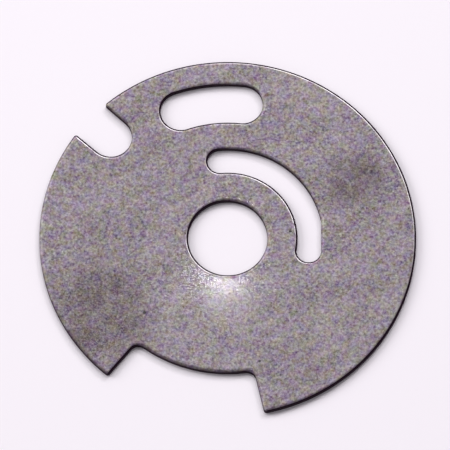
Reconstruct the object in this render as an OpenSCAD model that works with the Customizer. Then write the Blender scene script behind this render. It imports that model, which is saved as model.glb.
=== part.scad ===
// Restrictor washer: a flat stamped steel disc with a central bore, a wide slot near the rim,
// a narrow slot curved round the bore, a round-bottomed notch and a wide shallow notch in the rim.
// The edges of its upper face are rolled, as the punch leaves them.
// It lies on its lower face. The origin is the bore's axis at that face, and +Z is along the bore.
// Angles are counted from +X towards +Y.

/* [Disc] */
// Outside diameter of the disc
disc_d = 60.3; // [60:0.1:70]
// Thickness of the sheet
sheet_t = 1; // [0.5:0.1:3]
// Diameter of the central bore
bore_d = 12.7; // [4:0.1:18]

/* [Rolled edges] */
// Width of the rolled edge that the punch leaves along each wall of the upper face
roll_w = 0.6; // [0.4:0.05:0.8]
// Depth of the rolled edge at the wall
roll_d = 0.12; // [0.1:0.01:0.2]

/* [Wide slot] */
// Radius of the wide slot's centre line about the bore
wide_slot_r = 23; // [20:0.1:25]
// Width of the wide slot
wide_slot_w = 6.5; // [2:0.1:8]
// Angle of the middle of the wide slot
wide_slot_mid = 96.6; // [90:0.1:104]
// Angle between the centres of its two round ends
wide_slot_span = 25; // [10:0.1:36]

/* [Narrow slot] */
// Radius of the narrow slot's centre line about the bore
narrow_slot_r = 13.2; // [12:0.1:15]
// Width of the narrow slot
narrow_slot_w = 4.05; // [2:0.05:5]
// Angle of the centre of its round end at the top
narrow_slot_start = 95.3; // [60:0.1:130]
// Angle at which the curved run turns into the straight run
narrow_slot_bend = 11; // [6:0.5:30]
// Length of the straight run to the centre of its round end
narrow_slot_straight = 4.65; // [1:0.1:9]
// Radius that rounds the outer wall at the bend
narrow_slot_blend = 3; // [1:0.5:5]

/* [Round-bottomed notch] */
// Radius at which the centre of the round bottom lies
u_notch_r = 25.5; // [23:0.1:27]
// Angle at which it lies
u_notch_mid = 137.3; // [132:0.1:142]
// Lean of the notch off the radius
u_notch_lean = 0.9; // [-6:0.1:6]
// Width of the notch at its round bottom
u_notch_w = 6.75; // [2:0.05:8]
// Angle by which each side opens towards the rim
u_notch_flare = 0.7; // [0:0.1:8]
// Radius of the corners at the mouth
u_notch_corner = 0.4; // [0.1:0.05:1]

/* [Wide notch] */
// Radius of the notch's floor about the bore
wide_notch_r = 22.9; // [19:0.1:27]
// Angle at which the left side meets the rim
wide_notch_start = 230.6; // [215:0.1:240]
// Angle at which the right side meets the rim
wide_notch_end = 281.2; // [265:0.1:295]
// Lean of the left side off the radius
wide_notch_lean_start = -0.5; // [-10:0.5:10]
// Lean of the right side off the radius
wide_notch_lean_end = 2; // [-10:0.5:10]
// Radius of the corners between floor and sides
wide_notch_fillet = 1.5; // [0.5:0.1:2]
// Radius of the corners at the rim
wide_notch_corner = 0.5; // [0.1:0.05:1]

/* [Hidden] */
$fn = 128;
disc_r = disc_d / 2;
bore_r = bore_d / 2;
// How far a cut runs past the surface that it opens
past = 3;
// Round ends and fillets are this much larger than tangent, so that their edges cross cleanly
bite = 0.005;
// Angle by which a round end laps over the run that it closes
lap = 1;
// How many radii a corner's waste reaches from the centre of its rounding
corner_reach = 1.6;

// A point at radius r and angle a about the bore
function polar(r, a) = [r * cos(a), r * sin(a)];

// Angle of the point at radius r that lies at the distance off to the left of the ray at angle dir
function angle_beside(r, off, dir) = dir + asin(off / r);

// A round end of radius r about c on the left of the direction dir, which laps over the run that it closes
module round_end(c, r, dir) {
    translate(c) rotate(dir) intersection() {
        circle(r = r + bite);
        translate([-2 * r, -r * sin(lap)]) square([4 * r, 2 * r]);
    }
}

// What a corner loses when it is rounded: the part outside a circle of radius r about c, towards the
// corner between the directions a and b
module corner_waste(c, r, a, b) {
    reach = r * corner_reach;
    difference() {
        polygon([c, c + polar(reach, a), c + polar(reach, a) + polar(reach, b), c + polar(reach, b)]);
        translate(c) circle(r = r + bite);
    }
}

// Radii of the wide slot's curved walls, and the angles of the centres of its round ends
wide_slot_in_r = wide_slot_r - wide_slot_w / 2;
wide_slot_out_r = wide_slot_r + wide_slot_w / 2;
wide_slot_from = wide_slot_mid - wide_slot_span / 2;
wide_slot_to = wide_slot_mid + wide_slot_span / 2;

module wide_slot() {
    intersection() {
        difference() {
            circle(r = wide_slot_out_r);
            circle(r = wide_slot_in_r);
        }
        polygon([[0, 0], polar(2 * disc_r, wide_slot_from), polar(2 * disc_r, wide_slot_to)]);
    }
    round_end(polar(wide_slot_r, wide_slot_from), wide_slot_w / 2, wide_slot_from + 180);
    round_end(polar(wide_slot_r, wide_slot_to), wide_slot_w / 2, wide_slot_to);
}

// Radii of the narrow slot's curved walls, and how far its straight walls lie from the Y axis
narrow_slot_in_r = narrow_slot_r - narrow_slot_w / 2;
narrow_slot_out_r = narrow_slot_r + narrow_slot_w / 2;
narrow_slot_in_x = narrow_slot_in_r * cos(narrow_slot_bend);
narrow_slot_out_x = narrow_slot_out_r * cos(narrow_slot_bend);
// Centres of its round ends, and the radius of the one on the straight run
narrow_slot_top = polar(narrow_slot_r, narrow_slot_start);
narrow_slot_end = polar(narrow_slot_r, narrow_slot_bend) - [0, narrow_slot_straight];
narrow_slot_end_r = (narrow_slot_out_x - narrow_slot_in_x) / 2;
// Angle and centre of the rounding of the outer wall at the bend
narrow_slot_blend_at =
    acos((narrow_slot_out_x - narrow_slot_blend) / (narrow_slot_out_r - narrow_slot_blend));
narrow_slot_blend_centre = polar(narrow_slot_out_r - narrow_slot_blend, narrow_slot_blend_at);

// A disc of radius r whose right side is flat at x, and stays so as far down as the disc reaches
module flat_sided_disc(r, x) {
    difference() {
        circle(r = r);
        translate([x, -r]) square([r, 2 * r]);
    }
    translate([0, -r]) square([x, r]);
}

// The slot is curved about the bore down to the bend, and from there its walls run parallel to Y
module narrow_slot() {
    reach = narrow_slot_out_r + 2 * past;
    difference() {
        intersection() {
            flat_sided_disc(narrow_slot_out_r, narrow_slot_out_x);
            polygon([[0, narrow_slot_end.y], [reach, narrow_slot_end.y], [reach, reach],
                     polar(reach, narrow_slot_start), [0, 0]]);
        }
        flat_sided_disc(narrow_slot_in_r, narrow_slot_in_x);
        corner_waste(narrow_slot_blend_centre, narrow_slot_blend, 0, narrow_slot_blend_at);
    }
    round_end(narrow_slot_top, narrow_slot_w / 2, narrow_slot_start);
    round_end(narrow_slot_end, narrow_slot_end_r, 180);
}

// The two sides of a notch are told apart by s: -1 is the side at the smaller angle, and 1 is the other

u_notch_centre = polar(u_notch_r, u_notch_mid);
u_notch_end_r = u_notch_w / 2;
// Length of its sides, from the round bottom until past the rim
u_notch_run = disc_r - u_notch_r + past;
// Direction of a side, outwards
function u_notch_side(s) = u_notch_mid + u_notch_lean + s * u_notch_flare;
// Where a side leaves the round bottom
function u_notch_foot(s) = u_notch_centre + polar(u_notch_end_r, u_notch_side(s) + s * 90);
// Angle at which the corner between a side and the rim is centred
function u_notch_corner_at(s) = angle_beside(disc_r - u_notch_corner,
    u_notch_r * sin(u_notch_mid - u_notch_side(s)) + s * (u_notch_end_r + u_notch_corner), u_notch_side(s));

module u_notch() {
    translate(u_notch_centre) circle(r = u_notch_end_r + bite);
    polygon([u_notch_foot(-1), u_notch_foot(-1) + polar(u_notch_run, u_notch_side(-1)),
             u_notch_foot(1) + polar(u_notch_run, u_notch_side(1)), u_notch_foot(1)]);
}

// Length of the wide notch's sides, from its floor until past the rim
wide_notch_run = disc_r - wide_notch_r + past;
// Where a side would meet the rim, as an angle and as a point
function wide_notch_tip_at(s) = s < 0 ? wide_notch_start : wide_notch_end;
function wide_notch_tip(s) = polar(disc_r, wide_notch_tip_at(s));
// Direction of a side, outwards
function wide_notch_side(s) = wide_notch_tip_at(s) + (s < 0 ? wide_notch_lean_start : wide_notch_lean_end);
// Angle of the point at radius r that lies at the distance off to the left of a side
function wide_notch_beside(r, off, s) =
    angle_beside(r, off + disc_r * sin(wide_notch_tip_at(s) - wide_notch_side(s)), wide_notch_side(s));
// Angle and centre of the corner between the floor and a side
function wide_notch_fillet_at(s) =
    wide_notch_beside(wide_notch_r + wide_notch_fillet, -s * wide_notch_fillet, s);
function wide_notch_fillet_centre(s) = polar(wide_notch_r + wide_notch_fillet, wide_notch_fillet_at(s));
// Directions from there to the floor and to the side
function wide_notch_to_floor(s) = wide_notch_fillet_at(s) + s * 180;
function wide_notch_to_side(s) = wide_notch_side(s) + s * 90;
// Angle at which the corner between a side and the rim is centred
function wide_notch_corner_at(s) = wide_notch_beside(disc_r - wide_notch_corner, s * wide_notch_corner, s);

module wide_notch() {
    difference() {
        polygon([wide_notch_tip(-1) - polar(wide_notch_run, wide_notch_side(-1)),
                 wide_notch_tip(-1) + polar(past, wide_notch_side(-1)),
                 polar(2 * disc_r, (wide_notch_start + wide_notch_end) / 2),
                 wide_notch_tip(1) + polar(past, wide_notch_side(1)),
                 wide_notch_tip(1) - polar(wide_notch_run, wide_notch_side(1))]);
        circle(r = wide_notch_r);
        for (s = [-1, 1])
            corner_waste(wide_notch_fillet_centre(s), wide_notch_fillet,
                         wide_notch_to_floor(s), wide_notch_to_side(s));
    }
}

// Rounds the corner between the rim and a side with the direction side. The rounding is centred at the
// angle at.
module rim_corner(r, at, side, s) {
    corner_waste(polar(disc_r - r, at), r, at, side - s * 90);
}

module outline() {
    difference() {
        circle(r = disc_r);
        wide_slot();
        narrow_slot();
        u_notch();
        wide_notch();
        for (s = [-1, 1]) {
            rim_corner(u_notch_corner, u_notch_corner_at(s), u_notch_side(s), s);
            rim_corner(wide_notch_corner, wide_notch_corner_at(s), wide_notch_side(s), s);
        }
    }
}

// Slope of a rolled edge where it leaves the upper face
roll_slope = 4;
// Radius of its section, and how far from the wall that is centred
roll_r = norm([roll_w, roll_d]) / 2 / sin(atan(roll_d / roll_w) - roll_slope);
roll_centre = roll_w + roll_r * sin(roll_slope);
// How far its cut stands out of the wall and of the upper face
roll_past = 0.3;

// Section of what a rolled edge loses. The wall is at x = 0 and the upper face at y = 0. s is 1 where the
// metal lies at x > 0, and -1 where it lies at x < 0.
module roll_section(s) {
    difference() {
        translate([s > 0 ? -roll_past : -roll_centre, -roll_d - roll_past])
            square([roll_past + roll_centre, roll_d + 2 * roll_past]);
        translate([s * roll_centre, -roll_r * cos(roll_slope)]) circle(r = roll_r);
    }
}

// Rolled edge of an arc of radius r about c between two directions. s is 1 where the metal lies outside the
// arc, and -1 where it lies inside.
module roll_arc(c, r, from, to, s) {
    translate([c.x, c.y, sheet_t]) rotate(from) rotate_extrude(angle = to - from)
        translate([r, 0]) roll_section(s);
}

// Rolled edge of a round end or a fillet, which laps over the rolled edges beside it
module roll_end(c, r, from, to) {
    roll_arc(c, r + bite, from - lap, to + lap, 1);
}

// Rolled edge of a straight wall from p over a length in the direction dir. s is 1 where the metal lies on
// its left, and -1 where it lies on its right.
module roll_straight(p, length, dir, s) {
    translate([p.x, p.y, sheet_t]) rotate(dir) rotate([90, 0, 90]) linear_extrude(length) roll_section(s);
}

module wide_slot_roll() {
    roll_arc([0, 0], wide_slot_in_r, wide_slot_from, wide_slot_to, -1);
    roll_arc([0, 0], wide_slot_out_r, wide_slot_from, wide_slot_to, 1);
    roll_end(polar(wide_slot_r, wide_slot_from), wide_slot_w / 2, wide_slot_from - 180, wide_slot_from);
    roll_end(polar(wide_slot_r, wide_slot_to), wide_slot_w / 2, wide_slot_to, wide_slot_to + 180);
}

module narrow_slot_roll() {
    roll_arc([0, 0], narrow_slot_in_r, narrow_slot_bend - lap, narrow_slot_start, -1);
    roll_straight([narrow_slot_in_x, narrow_slot_end.y], narrow_slot_straight, 90, 1);
    roll_arc([0, 0], narrow_slot_out_r, narrow_slot_blend_at, narrow_slot_start, 1);
    roll_end(narrow_slot_blend_centre, narrow_slot_blend, 0, narrow_slot_blend_at);
    roll_straight([narrow_slot_out_x, narrow_slot_end.y],
                  narrow_slot_blend_centre.y - narrow_slot_end.y, 90, -1);
    roll_end(narrow_slot_top, narrow_slot_w / 2, narrow_slot_start, narrow_slot_start + 180);
    roll_end(narrow_slot_end, narrow_slot_end_r, 180, 360);
}

module u_notch_roll() {
    roll_end(u_notch_centre, u_notch_end_r, u_notch_side(1) + 90, u_notch_side(-1) + 270);
    for (s = [-1, 1]) roll_straight(u_notch_foot(s), u_notch_run, u_notch_side(s), s);
}

module wide_notch_roll() {
    roll_arc([0, 0], wide_notch_r, wide_notch_fillet_at(-1), wide_notch_fillet_at(1), -1);
    for (s = [-1, 1]) {
        centre = wide_notch_fillet_centre(s);
        ends = [wide_notch_to_floor(s), wide_notch_to_side(s)];
        roll_end(centre, wide_notch_fillet, min(ends), max(ends));
        roll_straight(centre + polar(wide_notch_fillet, ends[1]), wide_notch_run, wide_notch_side(s), s);
    }
}

module washer() {
    color([0.58, 0.55, 0.57])
        difference() {
            linear_extrude(sheet_t) outline();
            translate([0, 0, -past]) cylinder(r = bore_r, h = sheet_t + 2 * past);
            roll_arc([0, 0], bore_r, 0, 360, 1);
            roll_arc([0, 0], disc_r, 0, 360, -1);
            wide_slot_roll();
            narrow_slot_roll();
            u_notch_roll();
            wide_notch_roll();
        }
}

washer();
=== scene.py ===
import math

import bmesh
import bpy
import numpy as np
from mathutils import Matrix, Vector
from mathutils.geometry import delaunay_2d_cdt


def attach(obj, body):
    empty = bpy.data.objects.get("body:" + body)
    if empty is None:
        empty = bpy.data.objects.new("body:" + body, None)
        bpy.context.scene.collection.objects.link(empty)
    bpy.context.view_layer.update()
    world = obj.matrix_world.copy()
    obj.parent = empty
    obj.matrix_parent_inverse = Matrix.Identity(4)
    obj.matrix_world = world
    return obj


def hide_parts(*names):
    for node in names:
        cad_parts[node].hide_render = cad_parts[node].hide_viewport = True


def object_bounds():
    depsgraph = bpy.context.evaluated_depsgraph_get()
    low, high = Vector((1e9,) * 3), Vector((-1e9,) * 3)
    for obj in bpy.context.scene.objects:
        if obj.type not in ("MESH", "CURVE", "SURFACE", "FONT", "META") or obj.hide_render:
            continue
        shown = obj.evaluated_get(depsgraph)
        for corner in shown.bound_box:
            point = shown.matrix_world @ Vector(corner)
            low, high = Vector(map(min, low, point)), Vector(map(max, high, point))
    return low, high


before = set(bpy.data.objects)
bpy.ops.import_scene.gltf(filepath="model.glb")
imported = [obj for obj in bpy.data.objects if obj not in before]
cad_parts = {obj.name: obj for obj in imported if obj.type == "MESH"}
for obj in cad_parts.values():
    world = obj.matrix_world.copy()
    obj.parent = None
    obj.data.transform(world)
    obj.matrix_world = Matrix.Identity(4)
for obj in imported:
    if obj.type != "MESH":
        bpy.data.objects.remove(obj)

CAD_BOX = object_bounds()
BOTTOM = CAD_BOX[0].z
TOP = CAD_BOX[1].z
MM = 0.001

# The rolled upper edge, and the distances from the wall at which rows of points shape it
ROLL_WIDTH = 0.6 * MM
ROLL_DEPTH = 0.18 * MM
ROW_DISTANCES = [d * MM for d in (0.03, 0.08, 0.15, 0.24, 0.34, 0.46, 0.6, 0.66)]
# The broken lower edge
LOWER_EDGE = 0.05 * MM
# Rows of faces on the walls, and the longest step along them
WALL_ROWS = 5
STEP = 0.3 * MM

# Points nearer to each other than this are one
SAME_PLACE = 0.0005 * MM
# How far a point may lie off the circle that it is taken to be on
ON_CIRCLE = 0.002 * MM
# Three points are on a line where four times their triangle's area, in square metres, is less
ON_LINE = 1e-12
# The normal of a face that looks down has a height below this
LOOKS_DOWN = -0.9
# A point is left out of a row where a wall is nearer than this share of the row's distance
ROW_SHARE = 0.995
# The triangulation's tolerance, and its choice of what it fills
FILL_TOLERANCE = 1e-9
WHOLE_HULL = 0
# How many points are measured at once
CHUNK = 512

# The photograph's camera: its tilt off the vertical, its distance, and where the bore's centre
# lies in the frame
TILT = math.radians(20.35)
DISTANCE = 3.0
CLIP_END = 10.0
FRAME_SIZE = 450
PIXELS_PER_METRE = 6248.5
BORE_PIXEL = (227.75, 237.7)
SENSOR = 36.0

# Broad lamps: name, azimuth and elevation in degrees, distance, size and power
LAMPS = (
    ("key", 95, 50, 2.0, 1.9, 23.5),
    ("side", 158, 30, 2.0, 1.2, 20.5),
    ("window", 58, 36, 2.0, 0.45, 8.0),
)
# A small lamp that the face mirrors just below the bore
GLINT_PLACE = (-0.8 * MM, -7.2 * MM)
GLINT_DISTANCE = 0.15
GLINT_SIZE = 0.004
GLINT_POWER = 0.0118
WORLD_COLOUR = (0.97, 0.94, 0.97)
WORLD_STRENGTH = 0.27

FLOOR_SIZE = 1.0
FLOOR_COLOUR = (0.92, 0.87, 0.93)
FLOOR_ROUGHNESS = 0.9
FLOOR_SPECULAR = 0.1

# In the steel, a scale is a number of noise cells for each millimetre. A range is two values to
# start and end at, and the results there where these aren't 0 and 1.
NOISE_DETAIL = 2.0
NOISE_ROUGHNESS = 0.6
# Sockets of a Mix node for colours: the amount, both colours and the result
MIX_AMOUNT, MIX_FIRST, MIX_SECOND, MIX_RESULT = 0, 6, 7, 2

# The steel's own colour and that of its darker clouds, which are stretched along faint streaks
STEEL = (0.265, 0.226, 0.252)
STEEL_CLOUD = (0.212, 0.18, 0.2)
CLOUD_SCALE = 0.1
CLOUD_DETAIL = 6
CLOUD_RANGE = (0.35, 0.65)
STREAK_ANGLE = math.radians(38)
STREAK_STRETCH = 2.5
# The tint of what the steel mirrors at a grazing angle
SPECULAR_TINT = (0.6, 0.5, 0.6)

# Light and dark specks of the face, and how much they change the colour
SPECKLE_SCALE = 2.6
SPECKLE = 0.28
# Tints of the face in two pairs, each from one colour to the other, and how much they change it
TINT_SCALE = 0.8
TINT_RANGE = (0.25, 0.75)
TINT = 0.42
YELLOW = (0.514, 0.533, 0.449)
BLUE = (0.486, 0.467, 0.551)
TEAL = (0.479, 0.51, 0.51)
RUST = (0.521, 0.49, 0.49)

# Patches that thin out the stains and the painted highlight lines
PATCH_SCALE = 0.35
STAIN_PATCHES = (0.3, 0.7, 0.4, 1.0)
PAINTED_HIGHLIGHT_PATCHES = (0.35, 0.55, 0.4, 1.0)
# Brown stains and pits: x, y and radius in millimetres, and the share of the radius that is full.
# The stain's colour darkens the steel's, and the pit's replaces it.
STAINS = ((20.0, 10.0, 7.0), (-20.5, -12.5, 12.5))
STAIN_CORE = 0.2
STAIN = (0.47, 0.42, 0.41)
PITS = ((10.0, 1.1, 0.3), (10.9, 2.35, 0.5), (-13.3, -12.7, 0.35), (5.1, -21.0, 0.27))
PIT_CORE = 0.5
PIT = (0.03, 0.025, 0.025)

# Rolled edges that lean to one side are painted lighter, a painted highlight as if lit from that
# side
PAINTED_HIGHLIGHT_SIDE = (0.79, 0.62, 0)
PAINTED_HIGHLIGHT_LEAN = (0.09, 0.14)
PAINTED_HIGHLIGHT = (0.72, 0.69, 0.71)
# Those that lean to another side take a share of painted shade, which darkens them where they turn
# from the light
FACING_SHADE_SIDE = (0.4, -0.92, 0)
FACING_SHADE_SHARE = 0.32
FACING_SHADE_LEAN = (0.03, 0.12, 0.0, FACING_SHADE_SHARE)
# Painted shade lies along the walls as a dark outline, and reaches further over edges that lean to
# its side
OUTLINE_SHADE_SIDE = (0.87, 0.5, 0)
OUTLINE_SHADE_REACH = 0.8
OUTLINE_SHADE_RANGE = (0.6, 0.72)
PAINTED_SHADE_COLOUR = (0.02, 0.008, 0.018)
# The walls that the punch has sheared, painted dark: the sheared steel's duller colour, darkened
# further by painted shade
SHEARED_WALL_AND_SHADE = (0.04, 0.028, 0.036)

# The grain's relief and roughness, and what the rolled edge takes off it and then adds again
GRAIN_SCALE = 3.2
GRAIN_DETAIL = 3
GRAIN_HEIGHT = 0.012 * MM
GRAIN_ROUGHNESS = (0.3, 0.7, 0.58, 0.68)
POLISH_RANGE = (0.1, 0.4, 0.0, 0.2)
ROUGH_RANGE = (0.55, 0.75, 0.0, 0.2)
# Bright facets of the face, as a gloss that comes and goes and fades out on the rolled edge
FACET_SCALE = 4.0
FACET_DETAIL = 1
FACET_RANGE = (0.45, 0.7)
FACET_FADE = (0.02, 0.25, 1.0, 0.0)
FACET_ROUGHNESS = 0.12


def wall_loops(mesh):
    """Closed loops of a flat mesh's lower face, with the metal on their left, and its height."""
    bm = bmesh.new()
    bm.from_mesh(mesh)
    bmesh.ops.remove_doubles(bm, verts=bm.verts, dist=SAME_PLACE)
    floor = min(v.co.z for v in bm.verts)
    following = {}
    for face in bm.faces:
        if face.normal.z > LOOKS_DOWN:
            continue
        for loop in face.loops:
            neighbours = [f for f in loop.edge.link_faces if f is not face]
            if all(f.normal.z > LOOKS_DOWN for f in neighbours):
                # The lower face turns clockwise seen from above, so its edges are taken backwards
                following[loop.link_loop_next.vert] = loop.vert
    loops = []
    while following:
        start, here = following.popitem()
        points = [start.co.xy.copy()]
        while here is not start:
            points.append(here.co.xy.copy())
            here = following.pop(here)
        loops.append(points)
    bm.free()
    return loops, floor


def circle_through(a, b, c):
    """Centre of the circle through three points, or None where they lie on a line."""
    u, v = b - a, c - a
    d = 2 * u.cross(v)
    if abs(d) < ON_LINE:
        return None
    uu, vv = u.length_squared, v.length_squared
    return a + Vector((v.y * uu - u.y * vv, u.x * vv - v.x * uu)) / d


def arc_centre(points, i):
    """Centre of the arc that runs from point i to the next, or None where that stretch is straight.

    It is an arc where four points in a row, with the stretch among them, lie on one circle.
    """
    n = len(points)
    a, b = points[i], points[(i + 1) % n]
    before, after = points[i - 1], points[(i + 2) % n]
    for other, test in ((before, after), (before, points[i - 2]), (after, points[(i + 3) % n])):
        centre = circle_through(a, b, other)
        if centre is not None and abs((test - centre).length - (a - centre).length) < ON_CIRCLE:
            return centre
    return None


def smooth_loop(points):
    """The loop in short steps, with its arcs made round again."""
    out = []
    for i, a in enumerate(points):
        b = points[(i + 1) % len(points)]
        centre = arc_centre(points, i)
        steps = max(1, math.ceil((b - a).length / STEP))
        for k in range(steps):
            p = a.lerp(b, k / steps)
            if centre is not None and k:
                p = centre + (p - centre).normalized() * (a - centre).length
            out.append(p)
    return out


def edge_share(distance):
    """1 at the wall, falling evenly to 0 where the rolled edge meets the flat face."""
    return max(0.0, 1 - distance / ROLL_WIDTH)


def roll_drop(distance):
    """How far the rolled edge lies below the upper face at a distance from the wall."""
    x = edge_share(distance)
    return ROLL_DEPTH * (1 - math.sqrt(1 - x * x))


def segments(loops):
    """Starts and ends of all the loops' segments."""
    starts = [np.array(loop) for loop in loops]
    return np.concatenate(starts), np.concatenate([np.roll(a, -1, axis=0) for a in starts])


def outline_distance(points, loops):
    """Distance of each point from the nearest segment of the loops."""
    a, b = segments(loops)
    d = b - a
    length = (d ** 2).sum(1)
    best = np.empty(len(points))
    for start in range(0, len(points), CHUNK):
        p = points[start:start + CHUNK, None, :]
        t = np.clip(((p - a) * d).sum(2) / length, 0, 1)
        best[start:start + CHUNK] = np.sqrt(((a + t[..., None] * d - p) ** 2).sum(2).min(1))
    return best


def inset(loops, distance):
    """Each point of the loops moved into the metal by a distance."""
    moved = []
    for loop in loops:
        a = np.array(loop)
        along = np.roll(a, -1, axis=0) - np.roll(a, 1, axis=0)
        along /= np.linalg.norm(along, axis=1)[:, None]
        moved.append(a + np.stack([-along[:, 1], along[:, 0]], 1) * distance)
    return np.concatenate(moved)


def row(loops, distance):
    """The inset points without those that lie nearer to another wall."""
    points = inset(loops, distance)
    return points[outline_distance(points, loops) > distance * ROW_SHARE]


def in_metal(points, loops):
    """Whether each point lies in the metal, where an odd number of walls lie on its right."""
    a, b = segments(loops)
    rise = b[:, 1] - a[:, 1]
    inside = np.empty(len(points), bool)
    for start in range(0, len(points), CHUNK):
        x, y = points[start:start + CHUNK, :1], points[start:start + CHUNK, 1:]
        spans = (a[:, 1] > y) != (b[:, 1] > y)
        # Segments that don't span the point's height count for nothing, and the 1 that ~spans
        # adds to their rise keeps a level one from dividing by zero
        across = a[:, 0] + (y - a[:, 1]) * (b[:, 0] - a[:, 0]) / (rise + ~spans)
        inside[start:start + CHUNK] = (spans & (across > x)).sum(1) % 2 == 1
    return inside


def fill(bm, verts, edges, loops):
    """Triangles between verts in the metal, with the edges of the outline kept."""
    places, _, triangles, olds, _, _ = delaunay_2d_cdt(
        [v.co.xy for v in verts], edges, [], WHOLE_HULL, FILL_TOLERANCE)
    middles = np.array([[tuple(places[i]) for i in t] for t in triangles]).mean(1)
    for t, inside in zip(triangles, in_metal(middles, loops)):
        if inside:
            bm.faces.new([verts[olds[i][0]] for i in t])


def washer_mesh(cad_mesh):
    """A finer mesh on the solid's outline, with rolled upper edges and a broken lower edge."""
    raw, floor = wall_loops(cad_mesh)
    top = max(v.co.z for v in cad_mesh.vertices)
    loops = [smooth_loop(points) for points in raw]
    bm = bmesh.new()
    edge = bm.verts.layers.float.new("edge")
    wall = bm.verts.layers.float.new("wall")

    def vert(x, y, z, on_edge, on_wall):
        made = bm.verts.new((x, y, z))
        made[edge], made[wall] = on_edge, on_wall
        return made

    outline, _ = segments(loops)
    heights = np.linspace(top - ROLL_DEPTH, floor + LOWER_EDGE, WALL_ROWS + 1)
    rows = [[vert(x, y, z, 1, 1) for x, y in outline] for z in heights]
    rows.append([vert(x, y, floor, 0, 0) for x, y in inset(loops, LOWER_EDGE)])
    edges, first = [], 0
    for points in loops:
        n = len(points)
        edges += [(first + i, first + (i + 1) % n) for i in range(n)]
        first += n
    for upper, lower in zip(rows, rows[1:]):
        for i, j in edges:
            bm.faces.new((upper[i], lower[i], lower[j], upper[j]))
    face = list(rows[0])
    for distance in ROW_DISTANCES:
        height = top - roll_drop(distance)
        face += [vert(x, y, height, edge_share(distance), 0) for x, y in row(loops, distance)]
    fill(bm, face, edges, loops)
    fill(bm, rows[-1], edges, loops)
    bmesh.ops.recalc_face_normals(bm, faces=bm.faces)
    for f in bm.faces:
        f.smooth = True
    mesh = bpy.data.meshes.new("washer_body")
    bm.to_mesh(mesh)
    bm.free()
    return mesh


def make_camera():
    """The photograph's camera, aimed so that the bore's centre falls on its place in the frame."""
    forward = Vector((0, math.sin(TILT), -math.cos(TILT)))
    right = Vector((1, 0, 0))
    up = Vector((0, math.cos(TILT), math.sin(TILT)))
    dx = (BORE_PIXEL[0] - FRAME_SIZE / 2) / PIXELS_PER_METRE
    dy = (BORE_PIXEL[1] - FRAME_SIZE / 2) / PIXELS_PER_METRE
    target = Vector((0, 0, TOP)) - right * dx + up * dy
    data = bpy.data.cameras.new("camera")
    data.sensor_width = SENSOR
    data.lens = PIXELS_PER_METRE * DISTANCE * SENSOR / FRAME_SIZE
    data.clip_end = CLIP_END
    camera = bpy.data.objects.new("camera", data)
    bpy.context.scene.collection.objects.link(camera)
    matrix = Matrix((right, up, -forward)).transposed().to_4x4()
    matrix.translation = target - forward * DISTANCE
    camera.matrix_world = matrix
    bpy.context.scene.camera = camera


def make_lamp(name, place, aim, size, power):
    """A round lamp at a place, turned to a point. The camera doesn't see it."""
    data = bpy.data.lights.new(name, "AREA")
    data.shape = "DISK"
    data.size = size
    data.energy = power
    lamp = bpy.data.objects.new(name, data)
    lamp.location = place
    lamp.rotation_euler = (place - aim).to_track_quat("Z", "Y").to_euler()
    lamp.visible_camera = False
    bpy.context.scene.collection.objects.link(lamp)


def make_lights():
    """The broad lamps, the small one over the spot that mirrors it, and an even world."""
    for name, azimuth, elevation, distance, size, power in LAMPS:
        a, e = math.radians(azimuth), math.radians(elevation)
        direction = Vector((math.cos(a) * math.cos(e), math.sin(a) * math.cos(e), math.sin(e)))
        make_lamp(name, direction * distance, Vector((0, 0, 0)), size, power)
    mirrored = Vector((0, math.sin(TILT), math.cos(TILT)))
    glint = Vector((*GLINT_PLACE, TOP))
    make_lamp("glint", glint + mirrored * GLINT_DISTANCE, glint, GLINT_SIZE, GLINT_POWER)
    world = bpy.data.worlds.new("world")
    world.use_nodes = True
    background = world.node_tree.nodes["Background"]
    background.inputs["Color"].default_value = (*WORLD_COLOUR, 1)
    background.inputs["Strength"].default_value = WORLD_STRENGTH
    bpy.context.scene.world = world


def floor_material():
    """Plain pale paper."""
    material = bpy.data.materials.new("floor")
    material.use_nodes = True
    shader = material.node_tree.nodes["Principled BSDF"]
    shader.inputs["Base Color"].default_value = (*FLOOR_COLOUR, 1)
    shader.inputs["Roughness"].default_value = FLOOR_ROUGHNESS
    shader.inputs["Specular IOR Level"].default_value = FLOOR_SPECULAR
    return material


def make_floor():
    bpy.ops.mesh.primitive_plane_add(size=FLOOR_SIZE, location=(0, 0, BOTTOM))
    floor = bpy.context.object
    floor.name = "floor"
    floor.data.materials.append(floor_material())


def add(tree, kind, inputs, **settings):
    """A new node with its settings. Each input is set to a value, or linked to an output."""
    node = tree.nodes.new(kind)
    for name, value in settings.items():
        setattr(node, name, value)
    for socket, value in inputs.items():
        if isinstance(value, bpy.types.NodeSocket):
            tree.links.new(value, node.inputs[socket])
        else:
            node.inputs[socket].default_value = value
    return node


def attribute(tree, name):
    return add(tree, "ShaderNodeAttribute", {}, attribute_name=name).outputs["Fac"]


def noise(tree, place, scale, detail=NOISE_DETAIL):
    inputs = {"Vector": place, "Scale": scale, "Detail": detail, "Roughness": NOISE_ROUGHNESS}
    return add(tree, "ShaderNodeTexNoise", inputs)


def ranged(tree, value, low, high, to_low=0.0, to_high=1.0):
    """The value smoothly carried over from low..high to to_low..to_high."""
    inputs = {"Value": value, "From Min": low, "From Max": high,
              "To Min": to_low, "To Max": to_high}
    return add(tree, "ShaderNodeMapRange", inputs,
               interpolation_type="SMOOTHSTEP").outputs["Result"]


def maths(tree, operation, a, b):
    return add(tree, "ShaderNodeMath", {0: a, 1: b}, operation=operation).outputs[0]


def mixed(tree, blend, amount, a, b):
    """Colour a mixed with colour b by an amount."""
    a, b = [c if isinstance(c, bpy.types.NodeSocket) else (*c, 1) for c in (a, b)]
    inputs = {MIX_AMOUNT: amount, MIX_FIRST: a, MIX_SECOND: b}
    return add(tree, "ShaderNodeMix", inputs, data_type="RGBA",
               blend_type=blend).outputs[MIX_RESULT]


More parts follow.
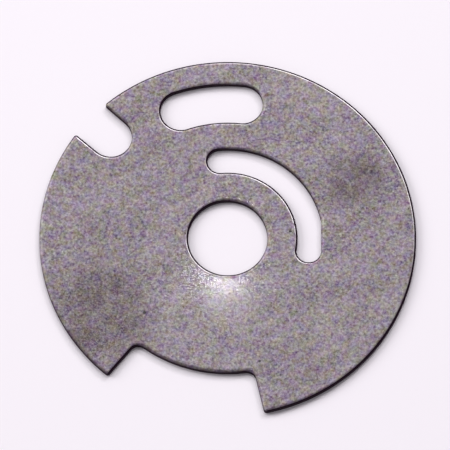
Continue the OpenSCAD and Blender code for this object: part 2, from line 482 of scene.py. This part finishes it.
def spots(tree, place, marks, core):
    """1 in the core of each mark on the upper face, falling to 0 at its radius."""
    total = None
    for x, y, radius in marks:
        away = add(tree, "ShaderNodeVectorMath", {0: place, 1: (x, y, TOP / MM)},
                   operation="DISTANCE").outputs["Value"]
        spot = ranged(tree, away, radius * core, radius, 1, 0)
        total = spot if total is None else maths(tree, "MAXIMUM", total, spot)
    return total


def towards(tree, side):
    """How far the surface leans to a side, as the cosine between its normal and that side."""
    normal = add(tree, "ShaderNodeTexCoord", {}).outputs["Normal"]
    return add(tree, "ShaderNodeVectorMath", {0: normal, 1: side},
               operation="DOT_PRODUCT").outputs["Value"]


def face_colour(tree, place, patches):
    """The steel with its darker clouds, light and dark specks, tints and brown stains."""
    turned = add(tree, "ShaderNodeVectorRotate", {"Vector": place, "Angle": -STREAK_ANGLE},
                 rotation_type="Z_AXIS").outputs["Vector"]
    streaked = add(tree, "ShaderNodeMapping",
                   {"Vector": turned, "Scale": (1, STREAK_STRETCH, 1)}).outputs["Vector"]
    cloud = noise(tree, streaked, CLOUD_SCALE, CLOUD_DETAIL).outputs["Fac"]
    colour = mixed(tree, "MIX", ranged(tree, cloud, *CLOUD_RANGE), STEEL, STEEL_CLOUD)
    speckle = noise(tree, place, SPECKLE_SCALE).outputs["Fac"]
    colour = mixed(tree, "LINEAR_LIGHT", SPECKLE, colour, speckle)
    tint = noise(tree, place, TINT_SCALE)
    green = add(tree, "ShaderNodeSeparateColor", {"Color": tint.outputs["Color"]}).outputs["Green"]
    for value, low, high in ((tint.outputs["Fac"], YELLOW, BLUE), (green, TEAL, RUST)):
        tinted = mixed(tree, "MIX", ranged(tree, value, *TINT_RANGE), low, high)
        colour = mixed(tree, "LINEAR_LIGHT", TINT, colour, tinted)
    stained = maths(tree, "MULTIPLY", spots(tree, place, STAINS, STAIN_CORE),
                    ranged(tree, patches, *STAIN_PATCHES))
    return mixed(tree, "MULTIPLY", stained, colour, STAIN)


def edge_colour(tree, place, patches, edge, colour):
    """The colour with a painted highlight and painted shade on the rolled edges, the pits, and
    walls darkened partly by painted shade.
    """
    # Painted highlight: rolled edges that lean to one side are made lighter
    painted_highlight = maths(tree, "MULTIPLY", ranged(tree, towards(tree, PAINTED_HIGHLIGHT_SIDE), *PAINTED_HIGHLIGHT_LEAN),
                 ranged(tree, patches, *PAINTED_HIGHLIGHT_PATCHES))
    colour = mixed(tree, "MIX", painted_highlight, colour, PAINTED_HIGHLIGHT)
    # Painted shade: rolled edges that lean to the front are darkened by a share
    facing_shade = ranged(tree, towards(tree, FACING_SHADE_SIDE), *FACING_SHADE_LEAN)
    colour = mixed(tree, "MIX", facing_shade, colour, PAINTED_SHADE_COLOUR)
    colour = mixed(tree, "MIX", spots(tree, place, PITS, PIT_CORE), colour, PIT)
    # Painted shade: a dark outline along the walls, wider over edges that lean to one side
    reach = maths(tree, "MULTIPLY", towards(tree, OUTLINE_SHADE_SIDE), OUTLINE_SHADE_REACH)
    outline_shade = ranged(tree, maths(tree, "ADD", edge, reach), *OUTLINE_SHADE_RANGE)
    colour = mixed(tree, "MIX", outline_shade, colour, PAINTED_SHADE_COLOUR)
    # The walls are painted dark, partly the sheared steel and partly painted shade
    return mixed(tree, "MIX", attribute(tree, "wall"), colour, SHEARED_WALL_AND_SHADE)


def roughness(tree, grain, edge):
    """The grain's roughness, lower on the start of the rolled edge and as before near the wall."""
    rough = ranged(tree, grain, *GRAIN_ROUGHNESS)
    rough = maths(tree, "SUBTRACT", rough, ranged(tree, edge, *POLISH_RANGE))
    return maths(tree, "ADD", rough, ranged(tree, edge, *ROUGH_RANGE))


def facet_gloss(tree, place, edge):
    """How glossy each spot of the face is, less on the rolled edge."""
    facets = noise(tree, place, FACET_SCALE, FACET_DETAIL).outputs["Fac"]
    return maths(tree, "MULTIPLY", ranged(tree, facets, *FACET_RANGE),
                 ranged(tree, edge, *FACET_FADE))


def steel_material():
    """Sheet steel with a fine grain and stains, a painted highlight and painted shade on the rolled
    edges, and sheared walls darkened partly by painted shade.
    """
    material = bpy.data.materials.new("bare_steel")
    material.use_nodes = True
    tree = material.node_tree
    shader = tree.nodes["Principled BSDF"]
    metres = add(tree, "ShaderNodeTexCoord", {}).outputs["Object"]
    place = add(tree, "ShaderNodeMapping",
                {"Vector": metres, "Scale": (1 / MM, 1 / MM, 1 / MM)}).outputs["Vector"]
    edge = attribute(tree, "edge")
    patches = noise(tree, place, PATCH_SCALE).outputs["Fac"]
    grain = noise(tree, place, GRAIN_SCALE, GRAIN_DETAIL).outputs["Fac"]
    bump = add(tree, "ShaderNodeBump", {"Height": grain, "Distance": GRAIN_HEIGHT})
    colour = edge_colour(tree, place, patches, edge, face_colour(tree, place, patches))
    tree.links.new(colour, shader.inputs["Base Color"])
    tree.links.new(roughness(tree, grain, edge), shader.inputs["Roughness"])
    tree.links.new(bump.outputs["Normal"], shader.inputs["Normal"])
    tree.links.new(facet_gloss(tree, place, edge), shader.inputs["Coat Weight"])
    shader.inputs["Coat Roughness"].default_value = FACET_ROUGHNESS
    shader.inputs["Metallic"].default_value = 1
    shader.inputs["Specular Tint"].default_value = (*SPECULAR_TINT, 1)
    return material


def make_washer():
    washer = bpy.data.objects.new("washer_body", washer_mesh(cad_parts["washer"].data))
    bpy.context.scene.collection.objects.link(washer)
    washer.data.materials.append(steel_material())
    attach(washer, "root")
    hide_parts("washer")


make_camera()
make_lights()
make_floor()
make_washer()
bpy.context.scene.view_settings.view_transform = "Standard"
